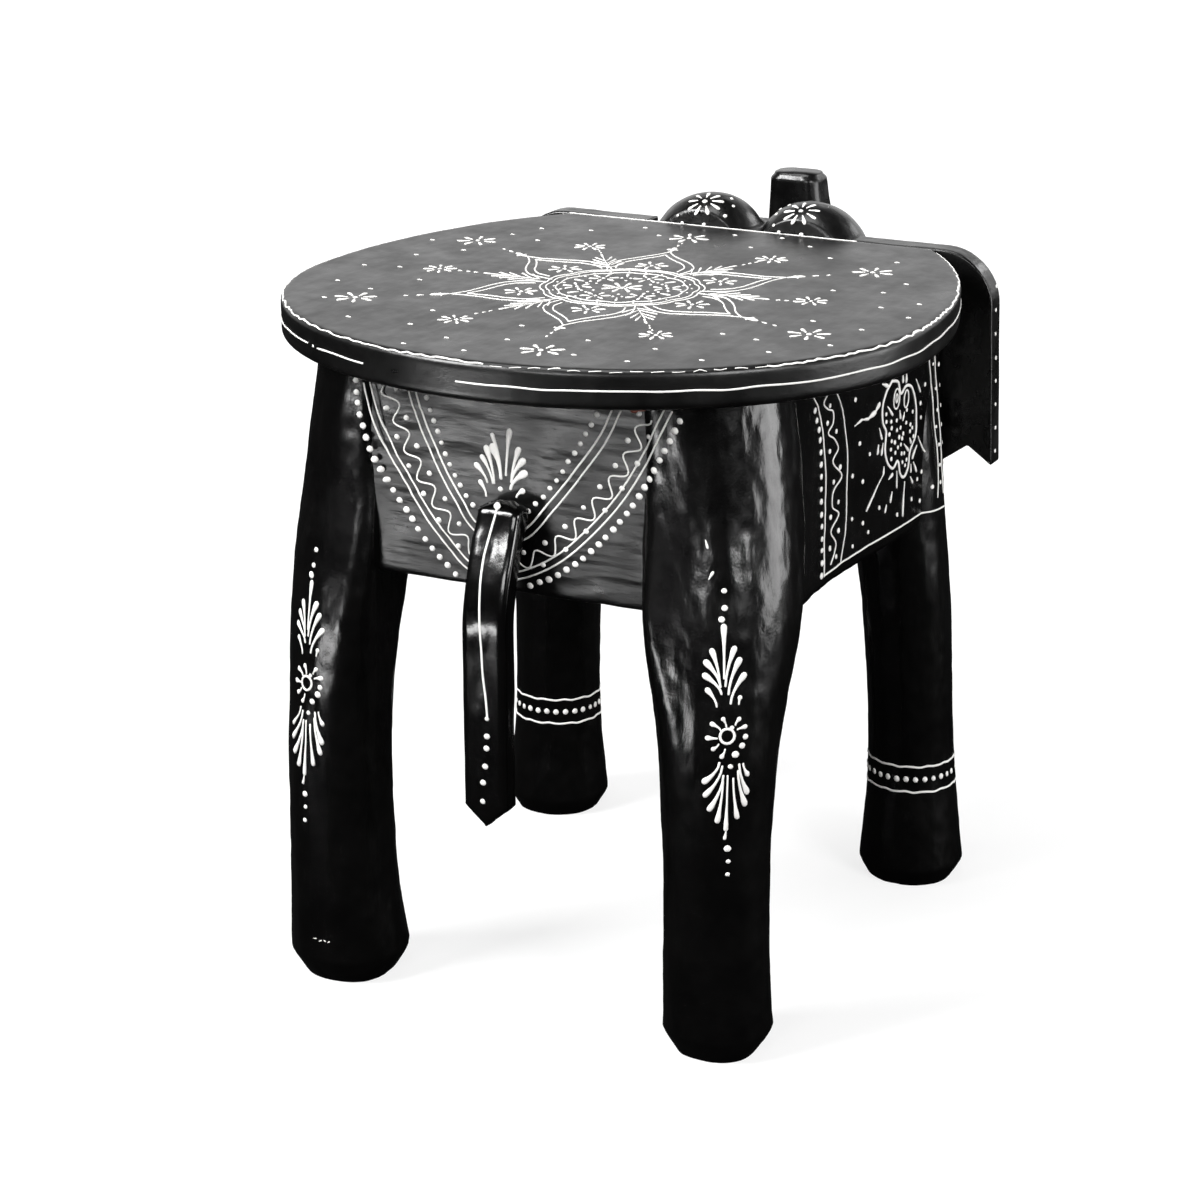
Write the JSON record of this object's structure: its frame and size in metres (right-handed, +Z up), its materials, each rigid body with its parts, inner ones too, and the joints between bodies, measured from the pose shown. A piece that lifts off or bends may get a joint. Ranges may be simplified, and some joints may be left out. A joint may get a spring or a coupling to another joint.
{
  "type": "carved elephant stool",
  "caption": "Low wooden stool carved as a standing elephant: D-shaped seat board, carved legs, arched aprons, flat ears, raised trunk and hanging tail; it holds a sitter, a plant or a lamp.",
  "frame": {"origin": "on the floor, under the middle of the overall length and width", "axes": "+Z up; +Y towards the tail, the animal faces -Y; +X towards the animal's left side"},
  "size_m": [0.287, 0.3586, 0.3165],
  "materials": {
    "lacquered_wood": "black satin paint over hand-carved wood, with raised white line and dot ornament",
    "plain_wood": "bare hardwood dowel",
    "white_wood": "white satin paint",
    "steel": "plain wire nails and screws"
  },
  "bodies": {
    "root": {"seat_board": "lacquered_wood", "rear_panel": "lacquered_wood", "front_panel": "lacquered_wood", "left_side_panel": "lacquered_wood", "right_side_panel": "lacquered_wood", "rear_left_leg": "lacquered_wood", "rear_right_leg": "lacquered_wood", "front_left_leg": "lacquered_wood", "front_right_leg": "lacquered_wood", "tail": "lacquered_wood", "tail_dowel": "plain_wood", "left_ear": "lacquered_wood", "right_ear": "lacquered_wood", "head": "lacquered_wood", "trunk": "lacquered_wood", "trunk_dowel": "plain_wood", "left_tusk": "white_wood", "right_tusk": "white_wood", "seat_nails": "steel", "ear_nails": "steel", "head_screws": "steel"}
  },
  "joints": []
}
